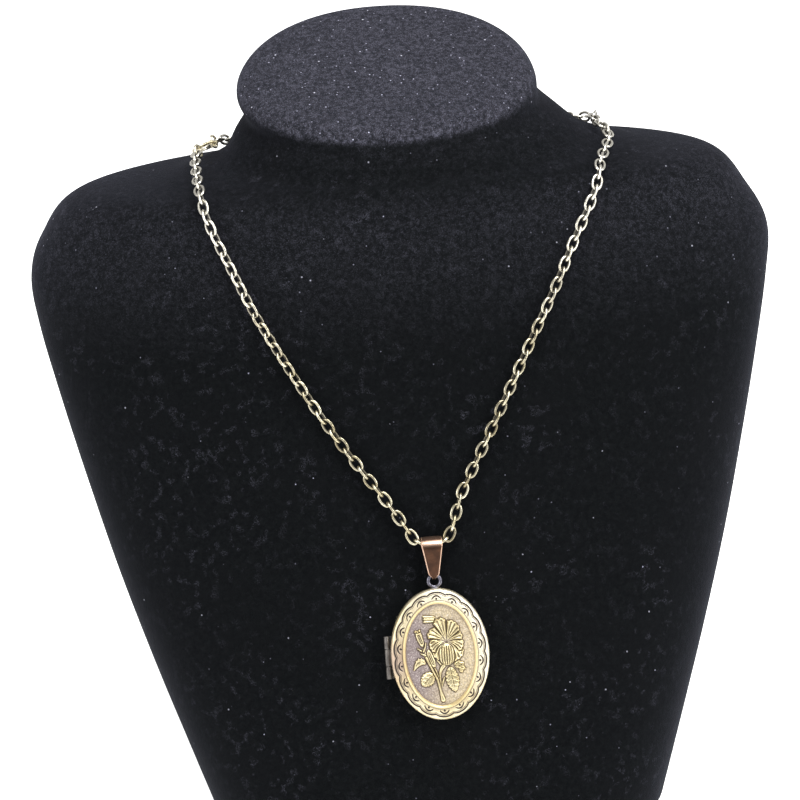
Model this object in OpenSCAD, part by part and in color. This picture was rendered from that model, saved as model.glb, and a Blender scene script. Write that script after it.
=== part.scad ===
// Oval flower locket on a cable chain, laid on a velvet neck bust.
// The front faces -Y, and the bust stands on its flat base at z = 0.

/* [Neck bust] */
// Width of the bust over its shoulders
bust_w = 190; // [188:0.5:192]
// Facets around the bust
bust_sides = 48; // [40:4:60]

/* [Chain] */
// Diameter of a link's wire
wire_d = 0.7; // [0.62:0.02:0.7]
// Length of a link over its ends
link_l = 4.45; // [4.42:0.01:4.5]
// Width of a link
link_w = 3; // [2.9:0.05:3.05]
// Greatest distance from one link to the next
pitch = 2.82; // [2.78:0.01:2.84]
// Links in the visible left run, up to the clasp
left_links = 46; // [42:2:48]

/* [Clasp] */
// Length of the clasp
clasp_l = 10.4; // [10.2:0.1:10.8]

/* [Bail] */
// Width of the bail's top
bail_w = 5.3; // [5:0.1:5.6]
// Thickness of the bail's strap
bail_t = 0.4; // [0.3:0.05:0.4]

/* [Locket] */
// Width of the oval locket
locket_w = 24; // [23.5:0.1:24.5]
// Height of the oval locket
locket_h = 32; // [31.5:0.1:32.5]
// Depth of the back shell
back_d = 2.9; // [2.8:0.05:3]
// Depth of the cover at its rim's inner bead
cover_d = 2.65; // [2.5:0.05:2.8]
// Thickness of the shells' sheet
sheet_t = 0.5; // [0.4:0.05:0.5]
// Diameter of the ring soldered to the locket's top
loop_d = 3.9; // [3.8:0.05:4]

/* [Hidden] */
$fn = 48;

// Colours
velvet = [0.10, 0.10, 0.12];
old_brass = [0.66, 0.58, 0.36];
light_brass = [0.85, 0.79, 0.55];
copper = [0.45, 0.30, 0.24];
gunmetal = [0.38, 0.36, 0.40];
hinge_grey = [0.62, 0.61, 0.58];

// Sections of the bust from its base to its flat top, a row each, with these columns
front_y = 0;
front_z = 1;
back_y = 2;
back_z = 3;
half_w = 4;
shift_x = 5;
square_n = 6;
bust_rows = [
    [-38, 0, 52, 0, 58, 0, 2.7],
    [-31, 20, 57, 20, 65, 0, 2.7],
    [-24, 40, 62, 40, 72, 0, 2.6],
    [-16, 62, 67, 62, 79, 0, 2.5],
    [-8, 84, 72, 84, 85, 0, 2.4],
    [-1, 104, 77, 104, 90, 0, 2.3],
    [6, 122, 81, 122, 94, 0, 2.2],
    [10, 134, 83, 134, 95, 0, 2.2],
    [14, 143, 83.5, 144, 91, -0.5, 2.15],
    [17, 153, 80, 154, 82, 0, 2.1],
    [19, 157, 76.5, 157, 61, 3, 2.1],
    [21, 159, 75.5, 162, 48, 3, 2.1],
    [22, 162, 77, 170, 41.5, 1.5, 2.1],
    [22.5, 165, 79.5, 176, 37.5, 1, 2.1],
    [23, 168, 81.5, 183, 38, 0, 2.1],
    [23.5, 170, 82, 187, 36.5, 0, 2.1],
    [25, 171.5, 81, 189, 33.5, 0, 2.1],
    [29, 173, 77, 188.5, 29.5, 0, 2.1]
];
rings_per_row = 2;
last_row = len(bust_rows) - 1;
width_scale = bust_w / 190;

function unit(v) = v / norm(v);
function signed_pow(v, p) = sign(v) * pow(abs(v), p);

// A smooth curve through the rows of a table, at row number t
function row_at(rows, t) =
    let (
        n = len(rows) - 1,
        i = min(floor(t), n - 1),
        u = t - i,
        a = rows[max(i - 1, 0)],
        b = rows[i],
        c = rows[i + 1],
        d = rows[min(i + 2, n)]
    )
    0.5 * (2 * b + (c - a) * u + (2 * a - 5 * b + 4 * c - d) * u * u
        + (3 * b - a - 3 * c + d) * u * u * u);

ring_rows = [for (i = [0 : last_row * rings_per_row]) row_at(bust_rows, i / rings_per_row)];
centre_y = (ring_rows[0][front_y] + max([for (r = ring_rows) r[back_y]])) / 2;

// A point on a section, at angle a from +X towards the back
function section_point(row, a) =
    let (across = signed_pow(sin(a), 2 / row[square_n]))
    [
        row[shift_x] + width_scale * row[half_w] * signed_pow(cos(a), 2 / row[square_n]),
        (row[front_y] + row[back_y]) / 2 + across * (row[back_y] - row[front_y]) / 2 - centre_y,
        (row[front_z] + row[back_z]) / 2 + across * (row[back_z] - row[front_z]) / 2
    ];
function skin(t, a) = section_point(row_at(bust_rows, t), a);
function skin_normal(t, a) =
    unit(cross(skin(t, a + 1) - skin(t, a - 1), skin(t + 0.05, a) - skin(t - 0.05, a)));

// The pendant hangs from a point over the chest, tilted back with it
hang_row = 3.6;
hang_x = 0.5;
hang_lift = 2.8;
hang_angle = angle_for(hang_row, hang_x);
hang_normal = skin_normal(hang_row, hang_angle);
hang_point = skin(hang_row, hang_angle) + hang_lift * hang_normal;
lean = atan2(hang_normal.z, -hang_normal.y);

// The angle at which the front of a section reaches x
function angle_for(t, x) =
    let (
        row = row_at(bust_rows, t),
        reach = min(abs(x - row[shift_x]) / (width_scale * row[half_w]), 1),
        a = acos(pow(reach, row[square_n] / 2))
    )
    x > row[shift_x] ? -a : a - 180;

// Route of the chain: each run climbs from the pendant to a crest beside the neck
left = -1;
right = 1;
vee_z = 74;
crest_z = 158.5;
function reach_of(side) = side == left ? 50.5 : 50;
function bow_of(side) = side == left ? 0.39 : 0.05;
function rise_at(t) = (row_at(bust_rows, t)[front_z] - vee_z) / (crest_z - vee_z);
function run_x(t, side) =
    hang_x + side * reach_of(side) * rise_at(t) * (1 + bow_of(side) * (1 - rise_at(t)));

// Height of the route over the velvet: on the runs, at the clasp and beside the bail
run_lift = 1.8;
clasp_lift = 2.75;
near_lift = 2.3;

// The way over the shoulder and down behind the neck: [row number, degrees past the side, height]
back_row = 8.9;
back_way = [
    [10.66, -14, 2.3], [11.02, 4, 2.2], [10.66, 20, 2.2], [10.12, 33, 2.1], [9.62, 45, 2.1],
    [9.2, 58, 2], [9, 70, 2], [8.92, 82, 2]
];
clasp_way = [
    [10.55, 2, clasp_lift], [10.5, 22, clasp_lift], [10.25, 37, 2.3], [9.95, 48, 2.2], [9.5, 58, 2.1]
];

function over_skin(t, a, lift) = skin(t, a) + lift * skin_normal(t, a);
function front_way(side) = [
    for (t = [4.15, each [4.5 : 0.5 : 10]])
        let (lift = t < 4.3 ? near_lift : t > 9 && side == left ? 2.5 : run_lift)
        [t, angle_for(t, run_x(t, side)), lift]
];
function way_back(side, list) = [for (w = list) [w[0], side == right ? w[1] : -180 - w[1], w[2]]];

// The middle link lies level in the bail. On each side the next two links climb at these
// angles, and turn about the round ends of the links that lie flat
climbs = [33, 62];
middle_z = -0.1;
half_pitch = pitch / 2;
bend_x = (link_l - link_w) / 2;
turn_span = 2 * pitch - 2 * bend_x;
function chest_way(x, z) = [x, z * sin(lean), z * cos(lean)];
function climb_dir(side, i) = chest_way(side * cos(climbs[i]), sin(climbs[i]));
function first_turn(side) = hang_point + chest_way(side * bend_x, middle_z);
function second_turn(side) = first_turn(side) + turn_span * climb_dir(side, 0);
function near_link(side, i) = i == 0
    ? first_turn(side) + turn_span / 2 * climb_dir(side, 0)
    : second_turn(side) + bend_x * climb_dir(side, 1);
function run_start(side) = second_turn(side) + (bend_x + half_pitch) * climb_dir(side, 1);
near_links = len(climbs);

// The whole route, from the right of the pendant round the neck to the left of it
way = [
    each front_way(right),
    each way_back(right, back_way),
    [back_row, 90, 2],
    each way_back(left, [for (i = [len(back_way) - 1 : -1 : 6]) back_way[i]]),
    each way_back(left, [for (i = [len(clasp_way) - 1 : -1 : 0]) clasp_way[i]]),
    each [for (i = [len(front_way(left)) - 1 : -1 : 0]) front_way(left)[i]]
];
way_rows = [
    for (w = way) [each over_skin(w[0], w[1], w[2]), each skin_normal(w[0], w[1])]
];
steps_per_row = 10;
smooth_way = [
    for (i = [0 : (len(way_rows) - 1) * steps_per_row]) row_at(way_rows, i / steps_per_row)
];
route = [
    [each run_start(right), each hang_normal],
    each smooth_way,
    [each run_start(left), each hang_normal]
];
function point_of(row) = [row[0], row[1], row[2]];
function running(i, total, list) =
    i >= len(route) ? list :
    let (sum = i == 0 ? 0 : total + norm(point_of(route[i]) - point_of(route[i - 1])))
    running(i + 1, sum, [each list, sum]);
lengths = running(0, 0, []);
route_l = lengths[len(lengths) - 1];
column_tables = [for (c = [0 : 5]) [for (i = [0 : len(route) - 1]) [lengths[i], route[i][c]]]];
function at(s) = [for (c = [0 : 2]) lookup(s, column_tables[c])];
function normal_at(s) = unit([for (c = [3 : 5]) lookup(s, column_tables[c])]);

// Links: the joint points lie on the route, and each link spans two of them
link_reach = (link_l - wire_d) / 2;
tip = link_reach - half_pitch;
wires_apart = 2 * tip;

// Rings at the chain's two ends
ring_d = 3.8;
ring_r = (ring_d - wire_d) / 2;
hook_w = 0.9;
tail_r = 1.4;
tail_hole_r = 0.8;
ring_at = ring_r + tip - wires_apart;
hook_at = ring_at + 0.5 - hook_w / 2;
tail_at = hook_at + clasp_l - tail_r;
end_ring_at = tail_at + 0.26 + ring_r;
fastening_l = end_ring_at + ring_r - wires_apart + tip;

clasp_s = route_l - (left_links - near_links) * pitch;
chord_lack = fastening_l - norm(at(clasp_s) - at(clasp_s - fastening_l));
back_end_s = clasp_s - fastening_l - chord_lack;
right_links = near_links + 2 * ceil(back_end_s / pitch / 2);
right_pitch = back_end_s / (right_links - near_links);
clasp_start = at(clasp_s);
clasp_way_dir = unit(at(back_end_s) - clasp_start);
clasp_tilt = 180;

// Turn of the links about the chain: square to the velvet near the ends, askew between
function askew(i, run, most) = most * pow(sin(180 * min(i / run, 1)), 2);

// Draws its children with X along the unit vector x_dir, and Z near z_near, turned by roll
module placed(origin, x_dir, z_near, roll) {
    y_dir = unit(cross(z_near, x_dir));
    z_dir = cross(x_dir, y_dir);
    multmatrix([
        [x_dir.x, y_dir.x, z_dir.x, origin.x],
        [x_dir.y, y_dir.y, z_dir.y, origin.y],
        [x_dir.z, y_dir.z, z_dir.z, origin.z],
        [0, 0, 0, 1]
    ])
        rotate([roll, 0, 0])
            children();
}

module wire_ring(mean_r, d) {
    rotate_extrude()
        translate([mean_r, 0])
            circle(d = d);
}

// One link, long along X and flat in XY
module link() {
    bend_r = (link_w - wire_d) / 2;
    straight = link_l - link_w;
    for (end = [0, 180])
        rotate([0, 0, end])
            translate([straight / 2, 0, 0])
                rotate([0, 0, -90])
                    rotate_extrude(angle = 180)
                        translate([bend_r, 0])
                            circle(d = wire_d, $fn = 20);
    for (y = [-bend_r, bend_r])
        translate([-straight / 2, y, 0])
            rotate([0, 90, 0])
                cylinder(d = wire_d, h = straight, $fn = 20);
}

module link_between(s0, s1, roll) {
    p0 = at(s0);
    p1 = at(s1);
    placed((p0 + p1) / 2, unit(p1 - p0), normal_at((s0 + s1) / 2), roll)
        link();
}

module chain() {
    color(old_brass) {
        placed(hang_point + chest_way(0, middle_z), [1, 0, 0], hang_normal, 0)
            link();
        for (side = [left, right], i = [0 : near_links - 1])
            placed(near_link(side, i), climb_dir(side, i), hang_normal, 90 * (1 - i))
                link();
        for (i = [1 : right_links - near_links])
            link_between((i - 1) * right_pitch, i * right_pitch, 90 * (i % 2) + askew(i, 40, 20));
        for (i = [1 : left_links - near_links])
            link_between(
                route_l - (i - 1) * pitch, route_l - i * pitch,
                90 * (i % 2) - askew(i, left_links - near_links, 40)
            );
    }
}

module neck_bust() {
    points = [
        for (row = ring_rows)
            for (k = [0 : bust_sides - 1])
                section_point(row, 360 * k / bust_sides)
    ];
    last_ring = len(ring_rows) - 1;
    function index(ring, k) = ring * bust_sides + k % bust_sides;
    color(velvet)
        polyhedron(points, [
            [for (k = [0 : bust_sides - 1]) index(0, k)],
            [for (k = [bust_sides - 1 : -1 : 0]) index(last_ring, k)],
            for (ring = [0 : last_ring - 1])
                for (k = [0 : bust_sides - 1])
                    each [
                        [index(ring, k), index(ring + 1, k), index(ring + 1, k + 1)],
                        [index(ring, k), index(ring + 1, k + 1), index(ring, k + 1)]
                    ]
        ]);
}

// Lobster clasp, from its hook's outer end at x = 0 to its tail, flat in XY
clasp_t = 1.8;
full_t = clasp_t + 0.02;
lever_t = 0.8;
bow_r = 2.6;
bow_in_r = 1.7;
pivot_at = [6.5, 0.7];
pivot_r = 0.3;
gate_x = 2.5;
tail_t = 0.9;
neck_x = 8.2;
fit = 0.05;

module clasp_outline() {
    translate([bow_r, 0])
        circle(r = bow_r);
    polygon([
        [bow_r, -bow_r + 0.01], [neck_x, -1.1], [neck_x, 1.1], [7.6, 1.75], [5.6, 2.2],
        [bow_r, bow_r - 0.01]
    ]);
}

module clasp_place() {
    placed(clasp_start, clasp_way_dir, normal_at(clasp_s - fastening_l / 2), clasp_tilt)
        translate([hook_at, 0, 0])
            children();
}

module clasp_body() {
    color(light_brass)
        clasp_place() {
            difference() {
                intersection() {
                    linear_extrude(clasp_t, center = true)
                        clasp_outline();
                    // Side view: thin at the hook, full round the pivot, thin again at the tail
                    rotate([90, 0, 0])
                        linear_extrude(2 * bow_r + 1, center = true)
                            polygon([
                                [-1, -hook_w / 2], [1.2, -hook_w / 2], [4.8, -full_t / 2],
                                [7.6, -full_t / 2], [neck_x + 0.1, -tail_t / 2], [neck_x + 0.1, tail_t / 2],
                                [7.6, full_t / 2], [4.8, full_t / 2], [1.2, hook_w / 2], [-1, hook_w / 2]
                            ]);
                }
                // The eye that a ring lies in
                translate([bow_r, 0, 0])
                    cylinder(r = bow_in_r, h = 3, center = true);
                translate([bow_r, -1.3, -1.5])
                    cube([2.2, 2.6, 3]);
                // The gate that the lever closes
                translate([gate_x, 0.6, -1.5])
                    cube([5.3 - gate_x, 3, 3]);
                // The slot that the lever turns in
                translate([4.6, -0.4, -lever_t / 2 - 0.1])
                    cube([3, 3.4, lever_t + 0.2]);
                translate([pivot_at.x, pivot_at.y, 0])
                    cylinder(r = pivot_r, h = 3, center = true);
            }
            difference() {
                union() {
                    translate([clasp_l - tail_r, 0, 0])
                        cylinder(r = tail_r, h = tail_t, center = true);
                    translate([neck_x - 0.4, -0.7, -tail_t / 2])
                        cube([0.8, 1.4, tail_t]);
                }
                translate([clasp_l - tail_r, 0, 0])
                    cylinder(r = tail_hole_r, h = 3, center = true);
            }
        }
}

module clasp_lever() {
    color(light_brass)
        clasp_place()
            difference() {
                union() {
                    translate([pivot_at.x, pivot_at.y, 0])
                        cylinder(r = 0.85, h = lever_t, center = true);
                    // The arm over the gate
                    linear_extrude(lever_t, center = true)
                        polygon([
                            [gate_x + 0.12, 1.9], [gate_x + 0.45, 2.45], [5.1, 2.25], [6.3, 1.6],
                            [6.4, 0.3], [5.75, 0.45], [5.2, 1.25]
                        ]);
                    // The thumb nub
                    linear_extrude(lever_t, center = true)
                        polygon([[6.1, 0.9], [6.2, 2.9], [6.9, 3], [7.1, 2.5], [7.1, 0.8]]);
                }
                translate([pivot_at.x, pivot_at.y, 0])
                    cylinder(r = pivot_r + fit, h = 3, center = true);
            }
}

module clasp_pin() {
    color(light_brass)
        clasp_place()
            translate([pivot_at.x, pivot_at.y, 0])
                cylinder(r = pivot_r, h = clasp_t, center = true);
}

module clasp_ring() {
    color(light_brass)
        placed(clasp_start, clasp_way_dir, normal_at(clasp_s - fastening_l / 2), clasp_tilt + 90)
            translate([ring_at, 0, 0])
                wire_ring(ring_r, wire_d);
}

module end_ring() {
    color(light_brass)
        placed(clasp_start, clasp_way_dir, normal_at(clasp_s - fastening_l / 2), clasp_tilt + 90)
            translate([end_ring_at, 0, 0])
                wire_ring(ring_r, wire_d);
}

// The pendant's own frame: origin at the chain, Z up the chest, -Y away from it
module on_pendant() {
    translate(hang_point)
        rotate([-lean, 0, 0])
            children();
}

// Bail: a strap folded round the chain at its top and round the locket's ring at its foot
bail_top_r = 2.55;
loop_wire = 0.95;
loop_mean_r = (loop_d - loop_wire) / 2;
eye_gap = 0.27;
eye_r = loop_wire / 2 + eye_gap;
eye_z = -6.83;

// Side view of the fold, drawn right through: a round top and a round foot joined by flat sides
module fold(top_r, foot_r, w) {
    slope = asin((top_r - foot_r) / -eye_z);
    inner_top = top_r - 0.01;
    inner_foot = foot_r - 0.01;
    rotate([90, 0, 90]) {
        cylinder(r = top_r, h = w, center = true);
        translate([0, eye_z, 0])
            cylinder(r = foot_r, h = w, center = true);
        linear_extrude(w, center = true)
            polygon([
                [-inner_top * cos(slope), -inner_top * sin(slope)],
                [inner_top * cos(slope), -inner_top * sin(slope)],
                [inner_foot * cos(slope), eye_z - inner_foot * sin(slope)],
                [-inner_foot * cos(slope), eye_z - inner_foot * sin(slope)]
            ]);
    }
}

module bail() {
    color(copper)
        on_pendant()
            intersection() {
                difference() {
                    fold(bail_top_r, eye_r + bail_t, bail_w + 1);
                    fold(bail_top_r - bail_t, eye_r, bail_w + 2);
                }
                rotate([90, 0, 0])
                    linear_extrude(2 * bail_top_r + 1, center = true)
                        polygon([
                            [-bail_w / 2, 1.2], [0.15 - bail_w / 2, bail_top_r + 0.1],
                            [bail_w / 2 - 0.15, bail_top_r + 0.1], [bail_w / 2, 1.2],
                            [1.3, eye_z + 0.15], [0.5, eye_z - eye_r + 0.05],
                            [0.42, eye_z - eye_r - 0.6],
                            [-0.42, eye_z - eye_r - 0.6], [-0.5, eye_z - eye_r + 0.05],
                            [-1.3, eye_z + 0.15]
                        ]);
            }
}

// The locket's oval is drawn with four arcs, two for the sides and two for the ends. The lines
// through their centres, where the arcs meet, rise 4 for every 3 across
oval_unit = (locket_h - locket_w) / 4;
side_x = 3 * oval_unit;
side_r = locket_w / 2 + side_x;
end_z = 4 * oval_unit;
end_r = locket_w / 2 - 2 * oval_unit;
corner = atan2(4, 3);
loop_z = eye_z - loop_mean_r;
locket_z = loop_z - loop_d / 2 + 0.2 - locket_h / 2;
parting_y = -0.6;
part_gap = 0.1;

// The wedge of the plane, from an arc's centre, that the arc fills
module wedge(points) {
    linear_extrude(20, center = true)
        polygon(points);
}

// Sweeps a profile round the oval: x = 0 is the oval's edge, and inwards is negative
module oval_band() {
    for (turn = [0, 180])
        rotate([0, 0, turn]) {
            intersection() {
                translate([-side_x, 0, 0])
                    rotate_extrude($fn = 180)
                        translate([side_r, 0])
                            children();
                wedge([[-side_x, 0], [18 - side_x, -24], [18 - side_x, 24]]);
            }
            intersection() {
                translate([0, end_z, 0])
                    rotate_extrude($fn = 120)
                        translate([end_r, 0])
                            children();
                wedge([[0, end_z], [18, end_z + 24], [-18, end_z + 24]]);
            }
        }
}

// The oval's outline, drawn in by inset
module oval_area(inset) {
    steps = 12;
    quarter = [
        for (i = [0 : steps]) let (a = corner * i / steps)
            [(side_r - inset) * cos(a) - side_x, (side_r - inset) * sin(a)],
        for (i = [1 : steps]) let (a = corner + (90 - corner) * i / steps)
            [(end_r - inset) * cos(a), end_z + (end_r - inset) * sin(a)]
    ];
    last = len(quarter) - 1;
    polygon([
        each quarter,
        for (i = [last - 1 : -1 : 0]) [-quarter[i].x, quarter[i].y],
        for (i = [1 : last]) [-quarter[i].x, -quarter[i].y],
        for (i = [last - 1 : -1 : 1]) [quarter[i].x, -quarter[i].y]
    ]);
}

// Hinge on the left side, its axis in the parting plane
hinge_x = -locket_w / 2 - 0.75;
hinge_h = part_gap / 2;
knuckle_r = 0.65;
hinge_pin_r = 0.3;
middle_l = 4.2;
hinge_l = 10.4;

function oval_edge_x(z) = side_x - sqrt(side_r * side_r - z * z);

// A knuckle from z0 to z1 with the web that joins it to a shell's wall, on the side z > 0
module knuckle(z0, z1) {
    color(hinge_grey)
        difference() {
            union() {
                translate([hinge_x, z0, 0])
                    rotate([-90, 0, 0])
                        cylinder(r = knuckle_r, h = z1 - z0);
                linear_extrude(knuckle_r - 0.02)
                    polygon([
                        [hinge_x, z0], [oval_edge_x(z0) + 0.25, z0],
                        [oval_edge_x(z1) + 0.25, z1], [hinge_x, z1]
                    ]);
            }
            translate([hinge_x, z0 - 1, 0])
                rotate([-90, 0, 0])
                    cylinder(r = hinge_pin_r + fit, h = z1 - z0 + 2);
        }
}

module on_locket() {
    on_pendant()
        translate([0, parting_y, locket_z])
            rotate([90, 0, 0])
                children();
}

// The shells' inner flat fields start this far in from the edge
field_in = 3.65;

module locket_back() {
    on_locket()
        mirror([0, 0, 1]) {
            color(old_brass) {
                oval_band()
                    polygon([
                        [0, 0], [0, back_d - 1.2], [-0.35, back_d - 0.5], [-1, back_d - 0.15], [-2, back_d],
                        [-field_in - 0.05, back_d], [-field_in - 0.05, back_d - sheet_t],
                        [-1.9, back_d - sheet_t], [-1.2, back_d - sheet_t - 0.2],
                        [-sheet_t, back_d - 1.4], [-sheet_t, 0]
                    ]);
                translate([0, 0, back_d - sheet_t])
                    linear_extrude(sheet_t)
                        oval_area(field_in - 0.05);
            }
            for (z0 = [middle_l / 2 + 0.1, -hinge_l / 2])
                translate([0, 0, -hinge_h])
                    knuckle(z0, z0 + (hinge_l - middle_l) / 2 - 0.1);
        }
    // The ring soldered to the top of the back shell
    color(gunmetal)
        on_pendant()
            translate([0, 0, loop_z])
                rotate([90, 0, 0])
                    wire_ring(loop_mean_r, loop_wire);
}

// Raised ornament, a row for each leaf or petal, with these columns
leaf_x = 0;
leaf_y = 1;
leaf_turn = 2;
leaf_l = 3;
leaf_w = 4;
leaf_up = 5;
// Where a leaf is widest, from 0 at its foot to 1 at its tip
leaf_belly = 6;
leaf_rows = [
    [1.6, 3.6, 14, 6.2, 4.4, 0.6, 0.62],
    [1.6, 3.6, -28, 5.6, 4, 0.55, 0.6],
    [1.4, 3.4, 55, 5.4, 3.4, 0.5, 0.6],
    [1.6, 3.2, -72, 4.6, 3.8, 0.55, 0.55],
    [1.6, 2.6, -128, 5, 3, 0.5, 0.55],
    [1.5, 3.2, 108, 4.6, 2.6, 0.5, 0.5],
    [1.5, 3.6, 181, 6.2, 3.7, 0.85, 0.58],
    [-4.3, 1.8, 8, 4.6, 2, 0.55, 0.5],
    [-2.9, 6.9, -28, 3.2, 1.6, 0.4, 0.5],
    [-2.2, -3, 2, 4.4, 1.6, 0.4, 0.5],
    [-2.6, -3.2, 75, 3.4, 1.9, 0.4, 0.45],
    [-1.2, -6.2, 72, 4.2, 3.2, 0.45, 0.5],
    [-0.2, -8.4, -34, 6.6, 2.6, 0.5, 0.5],
    [3.2, -3.6, -62, 3, 2.2, 0.4, 0.55]
];
stem_w = 0.55;
stem_up = 0.35;
stem_ways = [
    [[-4.3, 2], [-3.7, 0.6], [-2.4, -3.1], [-1, -5.8], [-0.5, -8], [-0.25, -10.6]],
    [[0.9, -2.2], [-0.2, -3.5], [-0.6, -8]]
];

// The outline of a leaf that grows from the origin along Y
module leaf_outline(length, width, belly) {
    power = ln(0.5) / ln(belly);
    steps = 8;
    function half_width(u) = width / 2 * pow(sin(180 * pow(u, power)), 0.75);
    polygon([
        [0, 0],
        for (i = [1 : steps - 1]) [half_width(i / steps), length * i / steps],
        [0, length],
        for (i = [steps - 1 : -1 : 1]) [-half_width(i / steps), length * i / steps]
    ]);
}

module stem_piece(from, to) {
    along = unit(to - from);
    aside = stem_w / 2 * [-along.y, along.x];
    polygon([from - aside, to - aside + 0.1 * along, to + aside + 0.1 * along, from + aside]);
}

field_d = cover_d - 0.65;
sunk = 0.1;

module relief() {
    translate([0, 0, field_d - sunk]) {
        for (row = leaf_rows)
            translate([row[leaf_x], row[leaf_y], 0])
                rotate([0, 0, row[leaf_turn]])
                    linear_extrude(row[leaf_up] + sunk)
                        leaf_outline(row[leaf_l], row[leaf_w], row[leaf_belly]);
        for (way = stem_ways)
            for (i = [1 : len(way) - 1])
                linear_extrude(stem_up + sunk)
                    stem_piece(way[i - 1], way[i]);
    }
}

module locket_cover() {
    on_locket() {
        color(old_brass)
            translate([0, 0, part_gap])
                oval_band()
                    polygon([
                        [0, 0], [0, cover_d - 1.45], [-0.35, cover_d - 0.9], [-1, cover_d - 0.65],
                        [-2.3, cover_d - 0.42], [-2.6, cover_d - 0.15], [-3.1, cover_d - 0.15],
                        [-3.5, field_d - part_gap], [-field_in - 0.05, field_d - part_gap],
                        [-field_in - 0.05, field_d - part_gap - sheet_t],
                        [-sheet_t, field_d - part_gap - sheet_t], [-sheet_t, 0]
                    ]);
        color(old_brass)
            translate([0, 0, field_d - sheet_t])
                linear_extrude(sheet_t)
                    oval_area(field_in);
        color(old_brass)
            relief();
        translate([0, 0, hinge_h])
            knuckle(-middle_l / 2, middle_l / 2);
    }
}

module hinge_pin() {
    color(hinge_grey)
        on_locket()
            translate([hinge_x, -hinge_l / 2, hinge_h])
                rotate([-90, 0, 0])
                    cylinder(r = hinge_pin_r, h = hinge_l);
}

neck_bust();
chain();
clasp_body();
clasp_lever();
clasp_pin();
clasp_ring();
end_ring();
bail();
locket_back();
locket_cover();
hinge_pin();
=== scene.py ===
# Oval locket with a stamped flower, on a cable chain laid round a black velvet neck bust
import math

import bmesh
import bpy
import numpy as np
from mathutils import Matrix, Vector


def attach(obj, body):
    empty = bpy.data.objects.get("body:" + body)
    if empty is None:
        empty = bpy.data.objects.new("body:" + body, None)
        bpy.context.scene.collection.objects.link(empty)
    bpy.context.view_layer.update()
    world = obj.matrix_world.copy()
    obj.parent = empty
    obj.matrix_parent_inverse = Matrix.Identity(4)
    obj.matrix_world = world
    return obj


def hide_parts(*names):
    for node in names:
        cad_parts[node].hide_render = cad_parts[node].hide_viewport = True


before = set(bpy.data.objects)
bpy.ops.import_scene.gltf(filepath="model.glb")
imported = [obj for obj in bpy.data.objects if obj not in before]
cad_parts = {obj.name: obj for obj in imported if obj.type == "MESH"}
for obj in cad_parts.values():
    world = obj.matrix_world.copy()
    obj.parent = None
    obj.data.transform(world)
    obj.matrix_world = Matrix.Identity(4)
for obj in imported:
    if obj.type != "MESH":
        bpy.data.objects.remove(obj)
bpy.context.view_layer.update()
mm = 0.001
print('frame loaded')


# Shader and node kit

def paint(red, green, blue):  # a colour picked on screen, 0 to 255, as Blender wants it
    def linear(value):
        value /= 255
        return value / 12.92 if value < 0.04045 else ((value + 0.055) / 1.055) ** 2.4
    return (linear(red), linear(green), linear(blue), 1.0)


def addNode(tree, kind, values=None, **settings):  # a value is a number, a colour or a socket
    made = tree.nodes.new(kind)
    for key, setting in settings.items():
        setattr(made, key, setting)
    for key, value in (values or {}).items():
        if isinstance(value, bpy.types.NodeSocket):
            tree.links.new(value, made.inputs[key])
        else:
            made.inputs[key].default_value = value
    return made


class Wire:  # a socket of a material that takes part in sums
    def __init__(self, finish, socket):
        self.finish, self.socket = finish, socket

    def sum(self, operation, first, second, clamp=False):
        values = {0: first, 1: second}
        return self.finish.node('Math', values, operation=operation, use_clamp=clamp)

    __add__ = __radd__ = lambda self, other: self.sum('ADD', self, other)
    __mul__ = __rmul__ = lambda self, other: self.sum('MULTIPLY', self, other)
    __sub__ = lambda self, other: self.sum('SUBTRACT', self, other)
    __rsub__ = lambda self, other: self.sum('SUBTRACT', other, self)
    __pow__ = lambda self, other: self.sum('POWER', self, other)
    __abs__ = lambda self: self.sum('ABSOLUTE', self, 0.0)
    clamped = lambda self: self.sum('ADD', self, 0.0, True)


class Finish:  # a material and its nodes
    def __init__(self, name):
        self.material = bpy.data.materials.new(name)
        self.material.use_nodes = True
        self.tree = self.material.node_tree
        self.tree.nodes.clear()
        self.coords = self.node('TexCoord', out='Object')

    def node(self, kind, values=None, out=0, **settings):
        plain = {key: getattr(value, 'socket', value) for key, value in (values or {}).items()}
        return Wire(self, addNode(self.tree, 'ShaderNode' + kind, plain, **settings).outputs[out])

    def noise(self, scale, detail=3.0, rough=0.55, bend=0.0):
        return self.node('TexNoise', {
            'Vector': self.coords, 'Scale': scale, 'Detail': detail, 'Roughness': rough,
            'Distortion': bend}, 'Fac')

    def step(self, value, low, high):  # 0 below low, 1 above high, smooth between
        values = {'Value': value, 'From Min': low, 'From Max': high, 'To Min': 0.0, 'To Max': 1.0}
        return self.node('MapRange', values, interpolation_type='SMOOTHSTEP')

    def mark(self, name):  # a number kept on the piece's points
        return self.node('Attribute', {}, 'Fac', attribute_name=name)

    def mix(self, amount, *pair):  # two sockets or colours, the second laid over the first
        first, second = (paint(*c) if isinstance(c, tuple) else c for c in pair)
        return self.node('Mix', {0: amount, 6: first, 7: second}, 2, data_type='RGBA')

    def layers(self, base, *coats):  # each coat is laid over those before it
        for amount, colour in coats:
            base = self.mix(amount, base, colour)
        return base

    def bump(self, height, distance, strength):
        values = {'Height': height, 'Distance': distance, 'Strength': strength}
        return self.node('Bump', values, 'Normal')

    def surface(self, **values):  # baseColor is the socket Base Color, and so on
        names = {key: key[0].upper() + ''.join(' ' + c if c.isupper() else c for c in key[1:])
                 for key in values}
        names['specular'] = 'Specular IOR Level'
        shader = self.node('BsdfPrincipled', {names[key]: values[key] for key in values})
        addNode(self.tree, 'ShaderNodeOutputMaterial', {'Surface': shader.socket})
        return self.material


# Mesh kit

def roundAngles(count):
    return 2 * math.pi * np.arange(count) / count


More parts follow.
